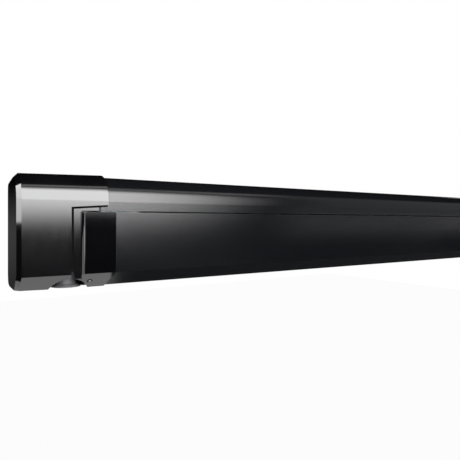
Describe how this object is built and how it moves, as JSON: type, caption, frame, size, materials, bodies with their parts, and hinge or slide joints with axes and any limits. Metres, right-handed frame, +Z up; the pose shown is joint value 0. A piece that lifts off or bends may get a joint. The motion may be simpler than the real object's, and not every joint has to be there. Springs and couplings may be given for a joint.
{
  "type": "roll out awning",
  "caption": "Wall-mounted cassette awning: a boxed roller with folding arms, a lead rail that closes the box, and two drop-down telescopic legs.",
  "frame": {"origin": "the back face of the middle wall bracket, level with the cassette's underside", "axes": "+X along the awning to the right as seen from the front, +Y into the wall, +Z up"},
  "size_m": [1.9, 0.1025, 0.1365],
  "materials": {
    "anthracite_coat": "satin fine texture",
    "black_moulding": "satin gloss",
    "dark_plastic": "matt",
    "cast_alloy": "cast",
    "drawn_alloy": "satin anodised",
    "zinc_steel": "zinc plated",
    "bronze": "machined",
    "black_rubber": "matt",
    "grey_canopy": "coated weave"
  },
  "bodies": {
    "cassette": {"cassette_profile": "anthracite_coat", "left_end_cap": "black_moulding", "right_end_cap": "black_moulding", "left_end_plate": "cast_alloy", "right_end_plate": "cast_alloy", "end_plate_screws": "zinc_steel", "wall_brackets": "anthracite_coat", "bracket_lock_screws": "zinc_steel", "rain_seal": "black_rubber", "gearbox_housing": "dark_plastic", "gearbox_cover": "dark_plastic", "winding_bell": "black_moulding", "left_shoulder_bracket": "cast_alloy", "right_shoulder_bracket": "cast_alloy", "shoulder_bolts": "zinc_steel", "shoulder_pins": "zinc_steel", "idler_pin": "zinc_steel"},
    "roller": {"roller_tube": "drawn_alloy", "canopy_roll": "grey_canopy", "drive_plug": "cast_alloy", "idler_plug": "dark_plastic", "worm_wheel": "bronze"},
    "crank_shaft": {"worm_shaft": "zinc_steel", "winding_eye": "zinc_steel"},
    "lead_rail": {"lead_rail_profile": "anthracite_coat", "left_lead_cap": "black_moulding", "right_lead_cap": "black_moulding", "wrist_brackets": "cast_alloy", "wrist_pins": "zinc_steel", "canopy_run": "grey_canopy", "canopy_keder": "grey_canopy", "leg_hinge_pins": "zinc_steel"},
    "left_upper_arm": {"left_upper_arm_tube": "drawn_alloy", "left_shoulder_knuckle": "cast_alloy", "left_elbow_fork": "cast_alloy", "left_elbow_pin": "zinc_steel", "left_arm_spring": "zinc_steel"},
    "left_forearm": {"left_forearm_tube": "drawn_alloy", "left_elbow_knuckle": "cast_alloy", "left_wrist_knuckle": "cast_alloy"},
    "right_upper_arm": {"right_upper_arm_tube": "drawn_alloy", "right_shoulder_knuckle": "cast_alloy", "right_elbow_fork": "cast_alloy", "right_elbow_pin": "zinc_steel", "right_arm_spring": "zinc_steel"},
    "right_forearm": {"right_forearm_tube": "drawn_alloy", "right_elbow_knuckle": "cast_alloy", "right_wrist_knuckle": "cast_alloy"},
    "left_leg_outer": {"left_leg_outer": "drawn_alloy"},
    "left_leg_middle": {"left_leg_middle": "drawn_alloy"},
    "left_leg_inner": {"left_leg_inner": "drawn_alloy"},
    "left_foot": {"left_foot": "dark_plastic"},
    "left_outer_lever": {"left_outer_lever": "dark_plastic"},
    "left_middle_lever": {"left_middle_lever": "dark_plastic"},
    "right_leg_outer": {"right_leg_outer": "drawn_alloy"},
    "right_leg_middle": {"right_leg_middle": "drawn_alloy"},
    "right_leg_inner": {"right_leg_inner": "drawn_alloy"},
    "right_foot": {"right_foot": "dark_plastic"},
    "right_outer_lever": {"right_outer_lever": "dark_plastic"},
    "right_middle_lever": {"right_middle_lever": "dark_plastic"}
  },
  "joints": [
    {"name": "left_shoulder", "type": "hinge", "parent": "cassette", "child": "left_upper_arm", "pos_m": [-0.8, -0.027, 0.031], "axis": [0, 0.1736, -0.9848], "range_deg": [0, 68.44], "deforming": ["canopy_run"]},
    {"name": "left_elbow", "type": "hinge", "parent": "left_upper_arm", "child": "left_forearm", "pos_m": [-0.04008, -0.03754, 0.02914], "axis": [0, -0.1736, 0.9848], "range_deg": [0, 136.88]},
    {"name": "right_shoulder", "type": "hinge", "parent": "cassette", "child": "right_upper_arm", "pos_m": [0.8, -0.027, 0.031], "axis": [0, -0.1736, 0.9848], "range_deg": [0, 68.44]},
    {"name": "right_elbow", "type": "hinge", "parent": "right_upper_arm", "child": "right_forearm", "pos_m": [0.04008, -0.03754, 0.02914], "axis": [0, 0.1736, -0.9848], "range_deg": [0, 136.88]},
    {"name": "left_wrist", "type": "hinge", "parent": "left_forearm", "child": "lead_rail", "pos_m": [-0.8, -0.04807, 0.02728], "axis": [0, 0.1736, -0.9848], "range_deg": [0, 68.44]},
    {"name": "roller_spin", "type": "hinge", "parent": "cassette", "child": "roller", "pos_m": [0, -0.046, 0.088], "axis": [1, 0, 0], "range_deg": [0, 2972]},
    {"name": "crank_spin", "type": "hinge", "parent": "cassette", "child": "crank_shaft", "pos_m": [-0.8954, -0.072, 0.088], "axis": [0, 0, 1], "range_deg": [0, 20798]},
    {"name": "left_leg_fold", "type": "hinge", "parent": "lead_rail", "child": "left_leg_outer", "pos_m": [-0.818, -0.075, 0.045], "axis": [0, 1, 0], "range_deg": [0, 90]},
    {"name": "left_leg_middle_slide", "type": "slide", "parent": "left_leg_outer", "child": "left_leg_middle", "axis": [1, 0, 0], "range_m": [0, 0.604]},
    {"name": "left_leg_inner_slide", "type": "slide", "parent": "left_leg_middle", "child": "left_leg_inner", "axis": [1, 0, 0], "range_m": [0, 0.602]},
    {"name": "left_foot_tilt", "type": "hinge", "parent": "left_leg_inner", "child": "left_foot", "pos_m": [-0.024, -0.075, 0.045], "axis": [0, 1, 0], "range_deg": [0, 45]},
    {"name": "left_outer_lever_flip", "type": "hinge", "parent": "left_leg_outer", "child": "left_outer_lever", "pos_m": [-0.084, -0.075, 0.0314], "axis": [0, -1, 0], "range_deg": [0, 100]},
    {"name": "left_middle_lever_flip", "type": "hinge", "parent": "left_leg_middle", "child": "left_middle_lever", "pos_m": [-0.056, -0.075, 0.0314], "axis": [0, -1, 0], "range_deg": [0, 100]},
    {"name": "right_leg_fold", "type": "hinge", "parent": "lead_rail", "child": "right_leg_outer", "pos_m": [0.818, -0.075, 0.017], "axis": [0, -1, 0], "range_deg": [0, 90]},
    {"name": "right_leg_middle_slide", "type": "slide", "parent": "right_leg_outer", "child": "right_leg_middle", "axis": [-1, 0, 0], "range_m": [0, 0.604]},
    {"name": "right_leg_inner_slide", "type": "slide", "parent": "right_leg_middle", "child": "right_leg_inner", "axis": [-1, 0, 0], "range_m": [0, 0.602]},
    {"name": "right_foot_tilt", "type": "hinge", "parent": "right_leg_inner", "child": "right_foot", "pos_m": [0.024, -0.075, 0.017], "axis": [0, -1, 0], "range_deg": [0, 45]},
    {"name": "right_outer_lever_flip", "type": "hinge", "parent": "right_leg_outer", "child": "right_outer_lever", "pos_m": [0.084, -0.075, 0.0034], "axis": [0, 1, 0], "range_deg": [0, 100]},
    {"name": "right_middle_lever_flip", "type": "hinge", "parent": "right_leg_middle", "child": "right_middle_lever", "pos_m": [0.056, -0.075, 0.0034], "axis": [0, 1, 0], "range_deg": [0, 100]}
  ],
  "couplings": [
    {"joint": "left_elbow", "follows": "left_shoulder", "ratio": 2},
    {"joint": "right_elbow", "follows": "left_shoulder", "ratio": 2},
    {"joint": "right_shoulder", "follows": "left_shoulder", "ratio": 1},
    {"joint": "left_wrist", "follows": "left_shoulder", "ratio": 1},
    {"joint": "roller_spin", "follows": "left_shoulder", "ratio": 43.41},
    {"joint": "crank_spin", "follows": "left_shoulder", "ratio": 303.87}
  ]
}
